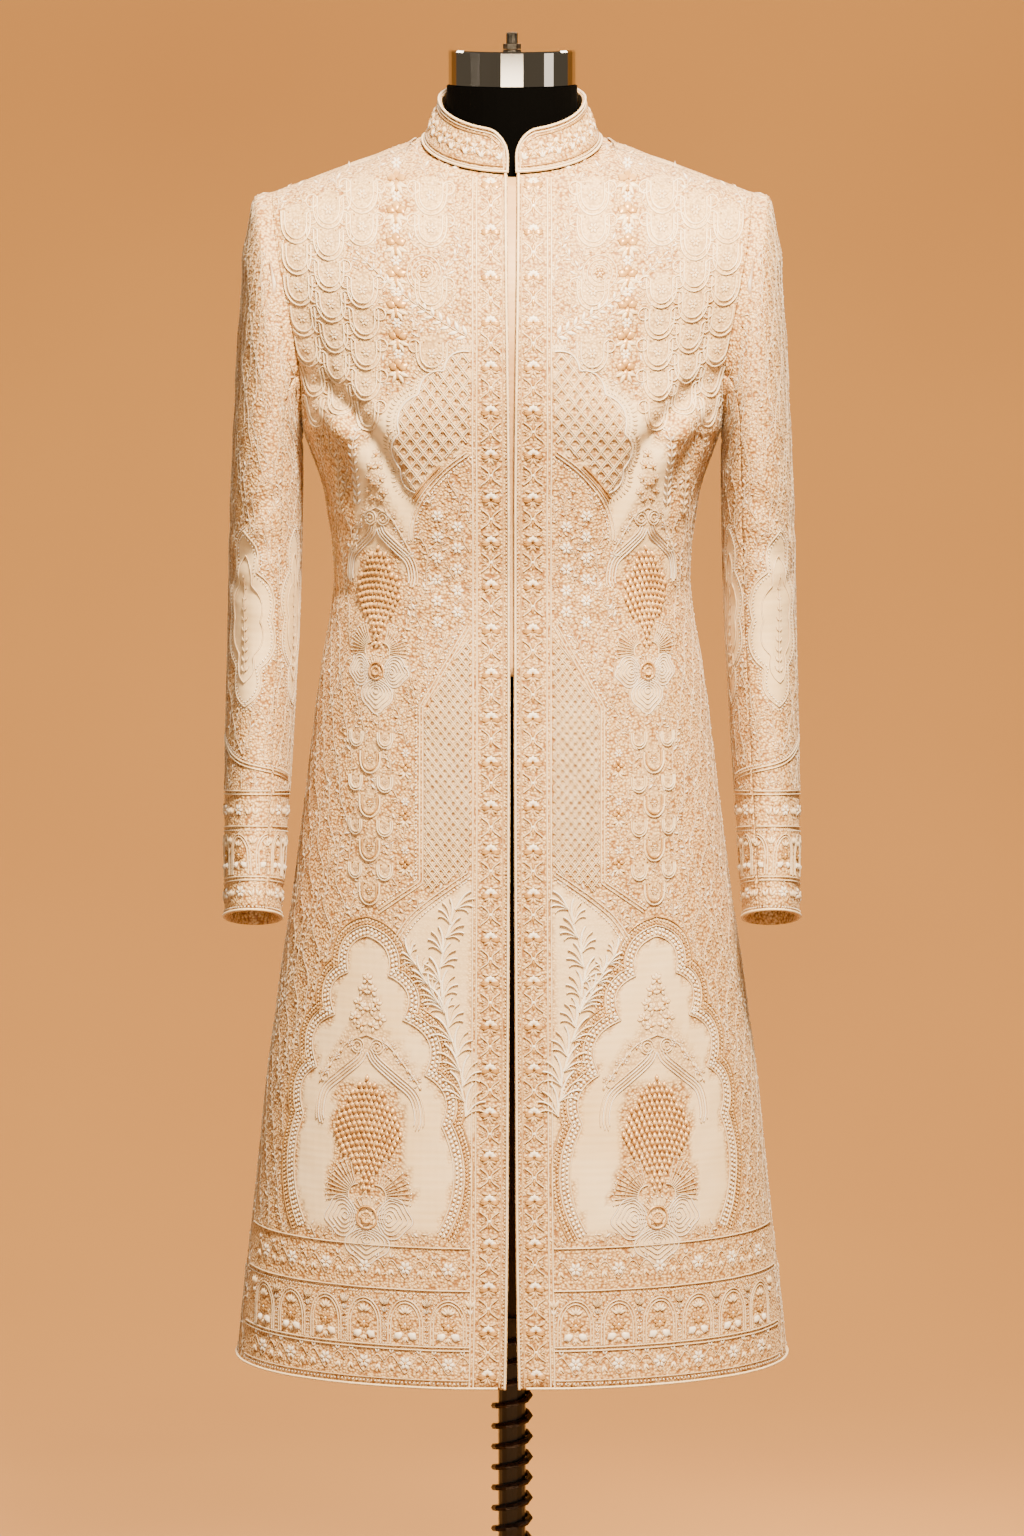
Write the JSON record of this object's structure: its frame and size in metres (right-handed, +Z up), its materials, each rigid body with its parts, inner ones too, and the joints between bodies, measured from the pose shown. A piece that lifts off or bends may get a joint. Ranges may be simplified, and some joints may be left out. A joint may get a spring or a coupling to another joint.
{
  "type": "sherwani coat on a limbless dress form",
  "caption": "Knee-length embroidered ivory sherwani coat with a band collar, edge-to-edge front and two-piece sleeves, worn by a black limbless dress form on a spring pole stand",
  "frame": {"origin": "on the floor, under the middle of the stand's round base", "axes": "+Z up; the coat's front faces -Y; the wearer's left is +X"},
  "size_m": [0.5196, 0.4, 1.635],
  "materials": {
    "coat_cloth": "ivory raw silk with dense tonal thread, pearl and gold bead embroidery",
    "coat_trim": "twisted ivory piping cord",
    "underlap_cloth": "plain tan satin",
    "form_cover": "smooth matt black cover",
    "cap_chrome": "polished chrome",
    "finial_metal": "blackened steel",
    "stand_paint": "satin black enamel",
    "spring_steel": "dark oiled spring wire"
  },
  "bodies": {
    "root": {"front_left": "coat_cloth", "front_right": "coat_cloth", "back": "coat_cloth", "sleeve_left_upper": "coat_cloth", "sleeve_left_under": "coat_cloth", "sleeve_right_upper": "coat_cloth", "sleeve_right_under": "coat_cloth", "collar": "coat_cloth", "underlap": "underlap_cloth", "piping_collar": "coat_trim", "piping_neck": "coat_trim", "piping_edge_left": "coat_trim", "piping_edge_right": "coat_trim", "piping_hem_left": "coat_trim", "piping_hem_right": "coat_trim", "piping_hem_back": "coat_trim", "piping_cuff_left": "coat_trim", "piping_cuff_right": "coat_trim", "form_torso": "form_cover", "neck_cap": "cap_chrome", "finial_nut": "finial_metal", "finial_stud": "finial_metal", "form_plate": "stand_paint", "pole": "stand_paint", "stop_upper": "stand_paint", "stop_lower": "stand_paint", "spring": "spring_steel", "hub": "stand_paint", "base": "stand_paint"}
  },
  "joints": []
}
